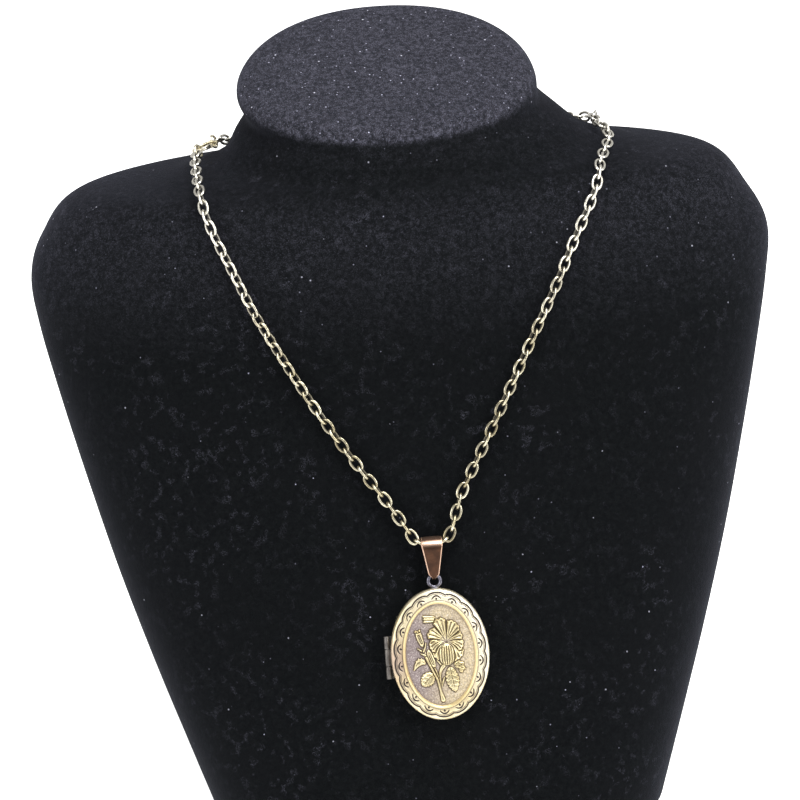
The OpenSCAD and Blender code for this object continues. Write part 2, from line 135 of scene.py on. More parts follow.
def smoothStep(t):
    t = np.clip(t, 0.0, 1.0)
    return t * t * (3 - 2 * t)


def rounded(t):  # the height of a round crest, 1 in its middle and 0 at 1 to either side
    return np.sqrt(np.clip(1 - t ** 2, 0, 1))


def smoothWay(rows, steps):  # a smooth open curve through the rows, with steps from row to row
    rows = np.asarray(rows, float)
    last = len(rows) - 1
    t = np.arange(last * steps + 1) / steps
    i = np.minimum(np.floor(t).astype(int), last - 1)
    u = (t - i)[..., None]
    a, b, c, d = rows[np.maximum(i - 1, 0)], rows[i], rows[i + 1], rows[np.minimum(i + 2, last)]
    return 0.5 * (2 * b + (c - a) * u + (2 * a - 5 * b + 4 * c - d) * u * u
                  + (3 * b - a - 3 * c + d) * u ** 3)


def gridFaces(rows, cols, start=0, ringRows=False, ringCols=True):
    i = np.arange(rows if ringRows else rows - 1)[:, None]
    j = np.arange(cols if ringCols else cols - 1)[None, :]
    i1, j1 = (i + 1) % rows, (j + 1) % cols
    corners = np.broadcast_arrays(i * cols + j, i * cols + j1, i1 * cols + j1, i1 * cols + j)
    return (np.stack(corners, -1).reshape(-1, 4) + start).tolist()


def cappedFaces(rows, cols):  # a tube that is closed at both ends
    last = (rows - 1) * cols
    return gridFaces(rows, cols) + [list(range(cols)), list(range(last, last + cols))]


def turned(profile, sides, middleX=0.0, middleZ=0.0, wide=1.0):  # radius and y, round y
    a = roundAngles(sides)
    r, y = np.array(profile, float).T[..., None]
    return np.stack([middleX + r * wide * np.cos(a), y + 0 * a, middleZ + r * np.sin(a)], -1)


def torusPoints(mean, wire, count=64, sides=20):
    a, b = roundAngles(count)[:, None], roundAngles(sides)[None, :]
    r = mean + wire / 2 * np.cos(b)
    points = np.stack([r * np.cos(a), r * np.sin(a), wire / 2 * np.sin(b) + 0 * a], -1)
    return points.reshape(-1, 3), gridFaces(count, sides, ringRows=True)


def putObject(name, data):
    made = bpy.data.objects.new(name, data)
    bpy.context.scene.collection.objects.link(made)
    return made


def setMark(mesh, name, values):
    mesh.attributes.new(name, 'FLOAT', 'POINT').data.foreach_set('value', values)


def plainMesh(piece):  # the mesh that the piece's modifiers make
    ready = piece.evaluated_get(bpy.context.evaluated_depsgraph_get())
    return bpy.data.meshes.new_from_object(ready)


class Shape:  # points in millimetres, faces, and named numbers for each point
    def __init__(self):
        self.points, self.faces, self.marks, self.count = [], [], {}, 0

    def add(self, points, faces, **marks):
        points = np.asarray(points, float).reshape(-1, 3)
        self.faces += [[k + self.count for k in face] for face in faces]
        for name in {**self.marks, **marks}:
            values = np.asarray(marks.get(name, 0.0), float).ravel()
            values = np.broadcast_to(values, (len(points),))
            self.marks.setdefault(name, [np.zeros(self.count)]).append(values)
        self.points.append(points)
        self.count += len(points)
        return self

    def build(self, name, finish, place=None):
        points = np.concatenate(self.points)
        if place is not None:
            points = place(points)
        mesh = bpy.data.meshes.new(name)
        mesh.from_pydata((points * mm).tolist(), [], self.faces)
        shell = bmesh.new()
        shell.from_mesh(mesh)
        bmesh.ops.recalc_face_normals(shell, faces=shell.faces)
        shell.to_mesh(mesh)
        shell.free()
        mesh.shade_smooth()
        for key, values in self.marks.items():
            setMark(mesh, key, np.concatenate(values))
        mesh.materials.append(finish)
        return putObject(name, mesh)


def fasten(piece, body, node):
    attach(piece, body)
    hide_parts(node)


# Neck bust

bust = dict(
    stepsPerRow=12, sides=360,
    # front y and z, back y and z, half width, middle x, squareness, from the base up
    rows=[
        [-38, 0, 52, 0, 58, 0, 2.7],
        [-31, 20, 57, 20, 65, 0, 2.7],
        [-24, 40, 62, 40, 72, 0, 2.6],
        [-16, 62, 67, 62, 79, 0, 2.5],
        [-8, 84, 72, 84, 85, 0, 2.4],
        [-1, 104, 77, 104, 90, 0, 2.3],
        [6, 122, 81, 122, 94, 0, 2.2],
        [10, 134, 83, 134, 95, 0, 2.2],
        [14, 143, 83.5, 144, 91, -0.5, 2.15],
        [17, 153, 80, 154, 82, 0, 2.1],
        [19, 157, 76.5, 157, 61, 3, 2.1],
        [21, 159, 75.5, 162, 48, 3, 2.1],
        [22, 162, 77, 170, 41.5, 1.3, 2.1],
        [22.5, 165, 79.5, 176, 37.5, 0.3, 2.1],
        [23, 168, 81.5, 183, 38, -0.9, 2.1],
        [23.5, 170, 82, 187, 36.5, -1.1, 2.1],
        [25, 171.5, 81, 189, 33.5, -1.1, 2.1],
        [29, 173, 77, 188.5, 29.5, -1.1, 2.1],
    ],
    originY=22.7969,  # the table's y over the middle of the whole object
    baseEdge=1.2, baseRings=(0.35, 0.7, 1.0), crownRings=24, crown=0.35,
    # how much lint, and how much painted top light, lies at these rows: the neck's top and the
    # shoulders are painted lighter where they face the top lamp, and the front of the shoulders
    # gets less of both
    lintAndTopLightRows=[0, 5.8, 7.4, 8.6, 10, 13.7, 14.5],
    lint=[0, 0, 0.2, 0.3, 0.08, 0.08, 1],
    lintAndLightLessFront=0.4, shoulderTo=12,
    # a painted sheen highlight: a lighter line along the front edge of the neck's top
    sheenEdgeRow=14.3, sheenEdgeHalf=0.16,
)
velvet = dict(
    pit=(2, 3, 4), nap=(9, 11, 12), worn=(5, 6, 7),
    # lint and grain also lay the painted top light on the neck's top and shoulders
    lint=(42, 42, 48), grain=(80, 80, 92), thread=(140, 140, 158),
    # edge is the colour of the painted sheen line along the neck's front edge
    speck=(190, 190, 205), mote=(170, 170, 190), edge=(90, 90, 104), sheen=(190, 195, 225),
)


def velvetFinish():
    f = Finish('blackVelvet')
    lint, edge = f.mark('lint'), f.mark('edge')
    patch, nap, grain = f.noise(60, 2), f.noise(900, 4, 0.6), f.noise(3600, 3, 0.7)
    curl = f.noise(1300, 2, 0.5, 1.5)
    thread = (1 - abs(curl * 2 - 1)).clamped() ** 40
    here = f.step(f.noise(420, 1), 0.55, 0.65)
    drift = f.step(f.noise(32, 2), 0.5, 0.62)  # lint lies in drifts

    def specks(scale, size, share):  # bright dots in some of the cells
        cells = {'Vector': f.coords, 'Scale': scale, 'Randomness': 1.0}
        dot = 1 - f.step(f.node('TexVoronoi', cells, 'Distance'), size * 0.5, size)
        return dot * f.step(f.node('TexVoronoi', cells, 'Color'), share, share + 0.02)
    large = specks(210.0, 0.06, 0.62 - 0.2 * lint) * (0.3 + 0.5 * lint)
    small = specks(640.0, 0.15, 0.86 - 0.33 * lint) * (0.12 + 0.5 * lint + 0.4 * drift)
    cloth = f.layers(
        velvet['pit'],
        (f.step(nap + 0.5 * grain, 0.55, 1.05), velvet['nap']),
        (f.step(patch, 0.35, 0.75) * 0.6, velvet['worn']),
        # lint with painted top light: the neck's top and the shoulders are painted lighter
        (lint * (0.4 + 0.6 * f.step(nap, 0.35, 0.65)), velvet['lint']),
        (lint * f.step(grain + 0.3 * nap, 0.66, 0.86), velvet['grain']),
        (thread * here * (0.05 + 0.2 * lint + 0.1 * drift), velvet['thread']),
        (large, velvet['speck']), (small, velvet['mote']),
        # painted sheen: a lighter line along the neck's front edge
        (edge * f.step(nap, 0.4, 0.6) * 0.22, velvet['edge']))
    return f.surface(
        baseColor=cloth, roughness=0.92, normal=f.bump(nap + 0.6 * grain, 0.00012, 0.8),
        specular=0.06, sheenWeight=0.06, sheenRoughness=0.45, sheenTint=paint(*velvet['sheen']))


def makeBust():
    steps, sides = bust['stepsPerRow'], bust['sides']
    rings = smoothWay(bust['rows'], steps)
    frontY, frontZ, backY, backZ, half, middle, square = rings.T[..., None]
    angle = roundAngles(sides)

    def bent(value):  # rounds a square with the squareness of each ring
        return np.sign(value) * np.abs(value) ** (2 / square)
    across = bent(np.sin(angle))
    x = middle + half * bent(np.cos(angle))
    y = (frontY + backY) / 2 + across * (backY - frontY) / 2 - bust['originY']
    z = (frontZ + backZ) / 2 + across * (backZ - frontZ) / 2
    skin = np.stack([x, y, z], -1)
    # the flat top of the neck
    top, base = skin[-1], skin[0]
    centre, foot = top.mean(0), base.mean(0)
    share = np.arange(1, bust['crownRings']) / bust['crownRings']
    share = np.cos(math.pi / 2 * share)[:, None, None]
    crown = centre + (top - centre) * share
    crown[..., 2] += bust['crown'] * (1 - share[..., 0] ** 2)
    # the flat base, inside a bevelled edge
    size = np.hypot(base[:, 0] - foot[0], base[:, 1] - foot[1])
    inset = 1 - bust['baseEdge'] / size[:, None]
    flat = np.array([foot + (base - foot) * inset * k for k in bust['baseRings']])
    flat[..., 2] = 0
    skin[0, :, 2] = bust['baseEdge'] * 0.6
    skin = np.concatenate([flat, skin, crown])
    middles = [[foot[0], foot[1], 0], centre + [0, 0, bust['crown']]]
    points = np.concatenate([skin.reshape(-1, 3), middles])
    low, high = len(points) - 2, len(points) - 1
    last = (len(skin) - 1) * sides
    faces = gridFaces(len(skin), sides)
    faces += [[low, (k + 1) % sides, k] for k in range(sides)]
    faces += [[high, last + k, last + (k + 1) % sides] for k in range(sides)]
    # row of the table at each ring
    row = np.arange(len(rings)) / steps
    row = np.concatenate([np.zeros(len(flat)), row, np.full(len(crown), len(bust['rows']))])
    front = np.clip(-np.sin(angle), 0, 1)
    # the mark 'edge' places the painted sheen line along the neck's front edge
    edge = np.exp(-((row - bust['sheenEdgeRow']) / bust['sheenEdgeHalf']) ** 2)[:, None] * front ** 6
    # lint and painted top light: more of both up the rows, less on the front of the shoulders
    lint = np.interp(row, bust['lintAndTopLightRows'], bust['lint'])[:, None]
    lint = lint * (1 - bust['lintAndLightLessFront'] * front * (row < bust['shoulderTo'])[:, None])
    piece = Shape().add(points, faces, edge=np.concatenate([edge.ravel(), [0, 0]]),
                        lint=np.concatenate([lint.ravel(), [0, 1]]))
    fasten(piece.build('velvetBust', velvetFinish()), 'display', 'neck_bust')


# Chain

chain = dict(
    length=4.45, width=3.0, wire=0.7, squareness=2.25, steps=40, wireSides=12, seed=7,
    # painted highlight: the links are painted paler on the shoulders than on the chest
    highlightFrom=115, highlightOver=50,
    # tarnish, on the inner side of a link
    tarnishFrom=0.98, tarnishOver=0.22,
)
oldBrass = dict(
    bright=(217, 211, 188), warm=(179, 169, 138), dark=(34, 28, 18),
    rough=0.22, stain=0.95, spots=0.4,
    # tone is a random tone for each link; the second coat is the painted highlight on the shoulders
    marks=(('tone', 0.7, (114, 103, 78)), ('pale', 0.75, (236, 233, 224))),
)


def metalFinish(name, bright, warm, dark, rough, stain, spots=0.18, bump=0.00001, marks=()):
    f = Finish(name)
    age, cloud, fine = f.mark('age'), f.noise(350, 3), f.noise(2600, 3, 0.6)
    coats = [(f.mark(mark) * amount, colour) for mark, amount, colour in marks]
    base = f.layers(bright, (f.step(cloud, 0.35, 0.7), warm), *coats)
    stain = (age * stain + f.step(fine, 0.58, 0.8) * spots).clamped()
    return f.surface(
        baseColor=f.mix(stain, base, dark), metallic=1 - 0.55 * stain,
        roughness=(rough + 0.12 * fine + 0.3 * age).clamped(),
        normal=f.bump(fine + 0.6 * cloud, bump, 0.7))


def islandFrames(node):  # middle and axes of each loose solid, longest axis first
    shell = bmesh.new()
    shell.from_mesh(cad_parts[node].data)
    bmesh.ops.remove_doubles(shell, verts=shell.verts, dist=1e-7)
    shell.verts.ensure_lookup_table()
    seen, found = set(), []
    for first in shell.verts:
        if first.index in seen:
            continue
        seen.add(first.index)
        stack, got = [first], []
        while stack:
            vert = stack.pop()
            got.append(vert.co[:])
            for edge in vert.link_edges:
                other = edge.other_vert(vert)
                if other.index not in seen:
                    seen.add(other.index)
                    stack.append(other)
        points = np.array(got)
        axes = np.linalg.eigh(np.cov((points - points.mean(0)).T))[1][:, ::-1]
        axes[:, 2] = np.cross(axes[:, 0], axes[:, 1])
        local = points @ axes
        middle = axes @ ((local.max(0) + local.min(0)) / 2)
        found.append((middle, axes))
    shell.free()
    return found


def linkTree():
    tree = bpy.data.node_groups.new('chainLinks', 'GeometryNodeTree')
    inputs = {
        'Geometry': 'Geometry', 'Link length': 'Float', 'Link width': 'Float', 'Wire': 'Float',
        'Squareness': 'Float', 'Steps': 'Int', 'Wire sides': 'Int', 'Seed': 'Int',
        'Finish': 'Material'}
    for label, kind in inputs.items():
        tree.interface.new_socket(label, in_out='INPUT', socket_type='NodeSocket' + kind)
    tree.interface.new_socket('Geometry', in_out='OUTPUT', socket_type='NodeSocketGeometry')

    def add(kind, values=None, **settings):
        return addNode(tree, kind, values, **settings).outputs

    def maths(operation, first, second=0.0):
        return add('ShaderNodeMath', {0: first, 1: second}, operation=operation)[0]
    put = add('NodeGroupInput')
    # a circle drawn out to an oval with slightly flattened sides, and wire along it
    circle = add('GeometryNodeCurvePrimitiveCircle', {'Resolution': put['Steps'], 'Radius': 1.0})
    place = add('ShaderNodeSeparateXYZ', {0: add('GeometryNodeInputPosition')[0]})
    powers = [maths('POWER', maths('ABSOLUTE', place[k]), put['Squareness']) for k in (0, 1)]
    swell = maths('POWER', maths('ADD', *powers), maths('DIVIDE', -1.0, put['Squareness']))
    drawn = []
    for k, size in enumerate(('Link length', 'Link width')):
        half = maths('MULTIPLY', maths('SUBTRACT', put[size], put['Wire']), 0.5)
        drawn.append(maths('MULTIPLY', maths('MULTIPLY', place[k], swell), half))
    oval = add('ShaderNodeCombineXYZ', {0: drawn[0], 1: drawn[1]})
    bend = add('GeometryNodeSetPosition', {'Geometry': circle[0], 'Position': oval[0]})
    ring = add('GeometryNodeCurvePrimitiveCircle', {
        'Resolution': put['Wire sides'], 'Radius': maths('MULTIPLY', put['Wire'], 0.5)})
    link = add('GeometryNodeCurveToMesh', {'Curve': bend[0], 'Profile Curve': ring[0]})
    # one link on each seat, turned as the seat says, with a tone of its own
    turn = add('GeometryNodeInputNamedAttribute', {'Name': 'turn'}, data_type='FLOAT_VECTOR')
    spun = add('FunctionNodeEulerToRotation', {0: turn[0]})
    laid = add('GeometryNodeInstanceOnPoints', {
        'Points': put['Geometry'], 'Instance': link[0], 'Rotation': spun[0]})
    tone = add('FunctionNodeRandomValue', {'Seed': put['Seed']}, data_type='FLOAT')
    toned = addNode(tree, 'GeometryNodeStoreNamedAttribute', {
        'Geometry': laid[0], 'Name': 'tone'}, data_type='FLOAT', domain='INSTANCE')
    tree.links.new(next(s for s in tone if s.type == 'VALUE'),
                   next(s for s in toned.inputs if s.name == 'Value' and s.type == 'VALUE'))
    real = add('GeometryNodeRealizeInstances', {0: toned.outputs[0]})
    smooth = add('GeometryNodeSetShadeSmooth', {0: real[0]})
    dressed = add('GeometryNodeSetMaterial', {'Geometry': smooth[0], 'Material': put['Finish']})
    add('NodeGroupOutput', {0: dressed[0]})
    return tree


def makeChain():
    frames = islandFrames('chain')
    seat = bpy.data.meshes.new('linkSeats')
    seat.from_pydata([tuple(middle) for middle, axes in frames], [], [])
    turns = [tuple(Matrix(axes.tolist()).to_euler()) for middle, axes in frames]
    turn = seat.attributes.new('turn', 'FLOAT_VECTOR', 'POINT')
    turn.data.foreach_set('vector', np.ravel(turns))
    seats = putObject('linkSeats', seat)
    modifier = seats.modifiers.new('links', 'NODES')
    modifier.node_group = linkTree()
    values = {
        'Link length': chain['length'] * mm, 'Link width': chain['width'] * mm,
        'Wire': chain['wire'] * mm, 'Squareness': chain['squareness'], 'Steps': chain['steps'],
        'Wire sides': chain['wireSides'], 'Seed': chain['seed'],
        'Finish': metalFinish('oldBrass', **oldBrass)}
    for socket in modifier.node_group.interface.items_tree:
        if socket.name in values:
            modifier[socket.identifier] = values[socket.name]
    mesh = plainMesh(seats)
    mesh.name = 'cableChain'
    bpy.data.objects.remove(seats)
    points = np.zeros(len(mesh.vertices) * 3)
    mesh.vertices.foreach_get('co', points)
    points = points.reshape(len(frames), -1, 3)
    halves = (np.array([chain['length'], chain['width']]) - chain['wire']) / 2
    power, age = chain['squareness'], []
    for (middle, axes), link in zip(frames, points):
        local = (link - middle) @ axes / mm
        reach = (np.abs(local[:, :2] / halves) ** power).sum(1) ** (1 / power)
        age.append(smoothStep((chain['tarnishFrom'] - reach) / chain['tarnishOver']))
    setMark(mesh, 'age', np.concatenate(age))
    height = points[..., 2].ravel() / mm
    # painted highlight, paler up the shoulders
    setMark(mesh, 'pale', smoothStep((height - chain['highlightFrom']) / chain['highlightOver']))
    fasten(putObject('cableChain', mesh), 'display', 'chain')


# Clasp and its rings

clasp = dict(castVoxel=0.085, softenSteps=3, ringMean=1.55, ringWire=0.7)
claspBrass = dict(
    bright=(244, 238, 218), warm=(214, 202, 166), dark=(62, 50, 34), rough=0.26, stain=0.8,
)


def castCopy(node, finish):  # a copy of a CAD node with its edges softened as a casting's are
    piece = putObject(node + 'Cast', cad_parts[node].data.copy())
    piece.data.materials.clear()
    piece.data.materials.append(finish)
    shell = bmesh.new()
    shell.from_mesh(piece.data)
    bmesh.ops.remove_doubles(shell, verts=shell.verts, dist=1e-7)
    shell.to_mesh(piece.data)
    shell.free()
    remesh = piece.modifiers.new('cast', 'REMESH')
    remesh.mode, remesh.voxel_size, remesh.use_smooth_shade = 'VOXEL', clasp['castVoxel'] * mm, True
    soften = piece.modifiers.new('soften', 'SMOOTH')
    soften.factor, soften.iterations = 0.5, clasp['softenSteps']
    cast = plainMesh(piece)
    piece.modifiers.clear()
    piece.data = cast
    cast.shade_smooth()
    return piece


def makeClasp():
    finish = metalFinish('claspBrass', **claspBrass)
    for node, body in (('clasp_body', 'display'), ('clasp_lever', 'lever')):
        fasten(castCopy(node, finish), body, node)
    points, faces = torusPoints(clasp['ringMean'], clasp['ringWire'])
    for node in ('clasp_ring', 'end_ring'):
        middle, axes = islandFrames(node)[0]
        ring = Shape().add(points @ axes.T + middle / mm, faces)
        fasten(ring.build(node + 'Wire', finish), 'display', node)
    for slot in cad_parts['clasp_pin'].material_slots:
        slot.material = finish


# Pendant

pendant = dict(
    hangPoint=(0.501002, -36.5556, 76.3026), lean=20.0198, eyeY=-6.83, locketY=-26.055,
    parting=0.6,
)
leanAngle = math.radians(pendant['lean'])
up = np.array([0, math.sin(leanAngle), math.cos(leanAngle)])
out = np.array([0, -math.cos(leanAngle), math.sin(leanAngle)])
hang = np.array(pendant['hangPoint'])


def onPendant(points):  # x to the right, y up the chest, z away from it, from the chain
    return hang + points[:, :1] * [1, 0, 0] + points[:, 1:2] * up + points[:, 2:3] * out


def onLocket(points):  # the same, from the middle of the oval, where its two halves part
    return onPendant(points + [0, pendant['locketY'], pendant['parting']])


# Bail

bail = dict(
    topR=2.55, footR=1.145, thick=0.4,
    # height on the pendant and half width there
    outline=[(-8.2, 0.42), (-7.5, 0.52), (-6.68, 1.3), (-4, 1.76), (-1, 2.27), (1.2, 2.65),
             (2.6, 2.5)],
    bevel=0.13, dome=0.1,
    # a painted highlight: a bright band across the bend over the chain, lighter still over its
    # crest
    bandY=1.15, highlightBandHalf=0.5, highlightCrestY=1.9,
)
copper = dict(face=(72, 49, 36), cloud=(54, 37, 28), mottle=(50, 36, 30), paleEdgeAndHighlightTint=(218, 182, 158))


def bailFinish():
    f = Finish('bailCopper')
    rub, cloud, fine = f.mark('rub'), f.noise(500, 3), f.noise(2400, 3, 0.6)
    face = f.mix(f.step(cloud, 0.35, 0.7), copper['face'], copper['cloud'])
    face = f.mix(f.step(fine, 0.55, 0.8) * 0.4, face, copper['mottle'])
    return f.surface(
        # paler edges, and the painted highlight band over the bend
        baseColor=f.mix(rub, face, copper['paleEdgeAndHighlightTint']), metallic=0.9,
        roughness=0.34 - 0.1 * rub + 0.1 * fine, normal=f.bump(fine, 0.00001, 0.6))


def makeBail():
    top, foot, footY = bail['topR'], bail['footR'], pendant['eyeY']
    slope = math.asin((top - foot) / -footY)
    a = np.linspace(-slope, math.pi + slope, 49)
    b = np.linspace(math.pi + slope, 2 * math.pi - slope, 25)
    # outer line of the fold in side view, as z (forwards) and y (up), with its outward direction
    bend = np.stack([top * np.cos(a), top * np.sin(a), np.cos(a), np.sin(a)], -1)
    turn = np.stack([foot * np.cos(b), footY + foot * np.sin(b), np.cos(b), np.sin(b)], -1)
    t = np.linspace(0, 1, 26)[1:-1, None]
    way = np.concatenate([bend, bend[-1] * (1 - t) + turn[0] * t,
                          turn, turn[-1] * (1 - t) + bend[0] * t])
    bevel, thick, dome = bail['bevel'], bail['thick'], bail['dome']
    # across the strap: share of the half width, inset, depth under the outer face, how much paler
    across = [(-1.0, bevel, thick - 0.08, 0.6), (-1.0, 0.0, thick - 0.16, 0.8),
              (-1.0, 0.0, bevel, 1.0), (-1.0, bevel * 0.35, bevel * 0.3, 1.0),
              (-1.0, bevel, 0.0, 0.75), (-1.0, bevel * 2.2, -0.02, 0.0),
              (-0.5, 0.0, -0.75 * dome, 0.0), (0.0, 0.0, -dome, 0.0)]
    across += [(-s, i, d, r) for s, i, d, r in across[-2::-1]]
    across += [(0.6, 0.0, thick, 0.1), (-0.6, 0.0, thick, 0.1)]
    heights, halves = zip(*bail['outline'])
    points, rub = [], []
    for z, y, nz, ny in way:
        half = float(np.interp(y, heights, halves))
        for share, inset, depth, bright in across:
            x = share * half - math.copysign(inset, share) if share else 0.0
            points.append([x, y - ny * depth, z - nz * depth])
            rub.append(bright)
    points = np.array(points)
    # painted highlight: a bright band on the front of the bend, and lighter over its crest
    band = 0.85 * np.exp(-((points[:, 1] - bail['bandY']) / bail['highlightBandHalf']) ** 2)
    band = band + 0.25 * smoothStep((points[:, 1] - bail['highlightCrestY']) / bail['highlightBandHalf'])
    rub = np.maximum(rub, band * (points[:, 2] > 0))
    shape = Shape().add(points, gridFaces(len(way), len(across), ringRows=True), rub=rub)
    fasten(shape.build('foldedBail', bailFinish(), onPendant), 'bail', 'bail')


# Locket: oval lines

locket = dict(width=24.0, height=32.0, around=900, lobes=18, fieldIn=3.65, fieldZ=2.0, plateZ=1.5)


def ovalWay(count):  # angles of points evenly spaced round the oval's edge, clockwise from its top
    fine = np.linspace(0, 2 * math.pi, 20001)
    edge = np.stack([locket['width'] / 2 * np.sin(fine), locket['height'] / 2 * np.cos(fine)], -1)
    run = np.concatenate([[0], np.cumsum(np.hypot(*np.diff(edge, axis=0).T))])
    s = run[-1] * np.arange(count) / count
    return np.interp(s, run, fine), s, run[-1]


def ovalPoints(insets, heights, count):  # one ring of points for each inset and height
    angle = ovalWay(count)[0]
    x = (locket['width'] / 2 - insets) * np.sin(angle)
    y = (locket['height'] / 2 - insets) * np.cos(angle)
    return np.stack([x, y, np.broadcast_to(heights, x.shape)], -1)


# Locket: back shell, and the ring that it hangs from

back = dict(
    sides=360,
    # inset from the edge and depth behind the parting, outside and then inside
    outer=[(0, 0), (0, 0.9), (0, 1.7), (0.1, 2.1), (0.35, 2.42), (1.0, 2.74), (2.0, 2.89),
           (2.9, 2.9), (3.7, 2.9)],
    inner=[(3.7, 2.4), (2.6, 2.4), (1.9, 2.4), (1.2, 2.2), (0.7, 1.85), (0.5, 1.5),
           (0.5, 0.8), (0.5, 0.0)],
    plateIn=3.5, plateDepths=(2.9, 2.4), plateRings=14, ringMean=1.475, ringWire=0.95,
    # radius and y of the solder under the ring
    solder=[(0.15, -10.5), (0.35, -10.45), (0.62, -10.3), (0.7, -10.12), (0.55, -9.85),
            (0.3, -9.72)],
    solderSides=24, solderWide=1.5,
)
shellBrass = dict(
    bright=(226, 214, 176), warm=(198, 180, 130), dark=(78, 62, 42),
    rough=0.22, stain=0.75, spots=0.12, bump=0.000006,
)
gunmetal = dict(
    bright=(128, 126, 136), warm=(82, 80, 90), dark=(30, 28, 33), rough=0.24, stain=0.8,
)


def makeBack():
    sides = back['sides']
    rings = np.concatenate([smoothWay(back['outer'], 4), smoothWay(back['inner'], 4)])
    wall = ovalPoints(rings[:, :1], -rings[:, 1:], sides)
    shape = Shape().add(wall, gridFaces(len(rings), sides, ringRows=True))
    # the flat middle of the back, from the middle outwards and inside it back again
    edge = ovalPoints(back['plateIn'], 0, sides)
    shares = np.linspace(0.02, 1, back['plateRings'])
    behind, inside = back['plateDepths']
    plate = [edge * [k, k, 0] - [0, 0, behind] for k in shares]
    plate += [edge * [k, k, 0] - [0, 0, inside] for k in shares[::-1]]
    shape.add(plate, cappedFaces(len(plate), sides))
    brass = metalFinish('shellBrass', **shellBrass)
    fasten(shape.build('backShell', brass, onLocket), 'locket', 'locket_back')

    ring, faces = torusPoints(back['ringMean'], back['ringWire'], 96, 28)
    ring = ring + [0, pendant['eyeY'] - back['ringMean'], 0]
    solder = turned(back['solder'], back['solderSides'], wide=back['solderWide'])
    shape = Shape().add(ring, faces, age=0.1)
    shape.add(solder, cappedFaces(len(back['solder']), back['solderSides']), age=0.5)
    piece = shape.build('hangRing', metalFinish('gunmetal', **gunmetal), onPendant)
    fasten(piece, 'locket', 'locket_back')


# Locket: hinge

hinge = dict(
    axisX=-locket['width'] / 2 - 0.75,
    axisZ=0.05, sides=40, radius=0.65, bore=0.36, bevel=0.09,
    # lowest and highest y of each knuckle
    backKnuckles=[(2.2, 5.2), (-5.2, -2.2)],
    coverKnuckle=(-2.1, 2.1),
    # the web that joins a knuckle to its shell
    webFrom=0.42, webInto=0.25, webZ=(0.06, 0.6), webRows=9,
    # radius and y of the pin
    pin=[(0.06, -5.2), (0.18, -5.19), (0.26, -5.15), (0.3, -5.06), (0.3, 5.06), (0.26, 5.15),
         (0.18, 5.19), (0.06, 5.2)],
    pinSides=32,
)
hingeSteel = dict(
    bright=(112, 108, 104), warm=(72, 68, 66), dark=(26, 22, 20), rough=0.36, stain=0.8,
)


def knuckle(shape, low, high, side):  # a rolled tube and its web; side is -1 behind the parting
    r, bore, soft = hinge['radius'], hinge['bore'], hinge['bevel']
    section = [(bore, low), (bore + 0.05, low), (r - soft, low),
               (r - soft * 0.3, low + soft * 0.3), (r, low + soft)]
    section += [(q, low + high - y) for q, y in section[::-1]]
    tube = turned(section, hinge['sides'], hinge['axisX'], hinge['axisZ'])
    shape.add(tube, gridFaces(len(section), hinge['sides'], ringRows=True), age=0.12)
    rows = np.linspace(low + 0.04, high - 0.04, hinge['webRows'])
    edge = locket['width'] / 2 * np.sqrt(1 - (2 * rows / locket['height']) ** 2)
    x0 = hinge['axisX'] + hinge['webFrom']
    z0, z1 = (side * z for z in hinge['webZ'])
    web = [[[x0, y, z0], [x1, y, z0], [x1, y, z1], [x0 + 0.06, y, z1 * 0.98], [x0, y, z1 * 0.8]]
           for y, x1 in zip(rows, hinge['webInto'] - edge)]
    # the web is painted dark, as shade between the knuckle and its shell
    shape.add(web, cappedFaces(hinge['webRows'], 5), age=0.85)


def makeHinge():
    steel = metalFinish('hingeSteel', **hingeSteel)
    pair, single = Shape(), Shape()
    for low, high in hinge['backKnuckles']:
        knuckle(pair, low, high, -1)
    knuckle(single, *hinge['coverKnuckle'], 1)
    pin = turned(hinge['pin'], hinge['pinSides'], hinge['axisX'], hinge['axisZ'])
    pin = Shape().add(pin, cappedFaces(len(hinge['pin']), hinge['pinSides']))
    fasten(pair.build('backKnuckles', steel, onLocket), 'locket', 'locket_back')
    fasten(single.build('coverKnuckle', steel, onLocket), 'cover', 'locket_cover')
    fasten(pin.build('hingePin', steel, onLocket), 'locket', 'hinge_pin')


# Locket: cover rim

rim = dict(
    # inset and height of the wall and of the underside; the face between them is every 'step'
    wall=[(0.5, 0.1), (0.3, 0.1), (0.05, 0.1), (0.0, 0.15), (0.0, 0.6), (0.0, 1.1),
          (0.01, 1.3), (0.05, 1.46), (0.13, 1.62), (0.23, 1.75)],
    under=[(3.66, 1.8), (3.66, 1.5), (2.6, 1.5), (1.5, 1.5), (0.7, 1.5), (0.5, 1.35),
           (0.5, 0.7)],
    step=0.075,
    # the face rises in a dome from the edge, and falls to the field
    faceIn=0.35, edgeZ=1.85, domeUp=0.47, domeOver=1.95, fallIn=2.9, fallOver=0.7, beadIn=3.2,
    beadHalf=0.44, beadUp=0.36,
    # the scalloped line, and a finer one inside it
    lineWidth=0.47, lobeMiddle=0.8, lobeCusp=1.28, lobePower=2.4, fineIn=0.42, fineWidth=0.12,
    # the arc and the dot in each lobe
    arcMiddle=1.62, arcEnd=2.36, arcHalf=1.45, arcWidth=0.42, dotIn=2.34, dotR=0.32, cutDepth=0.15,
    # the groove outside the bead
    grooveIn=2.74, grooveWidth=0.13, grooveDepth=0.05,
)
rimBrass = dict(
    bright=(220, 206, 172), warm=(202, 184, 142), light=(238, 228, 204),
    rose=(158, 133, 122), bead=(208, 186, 134), dark=(28, 13, 6),
)


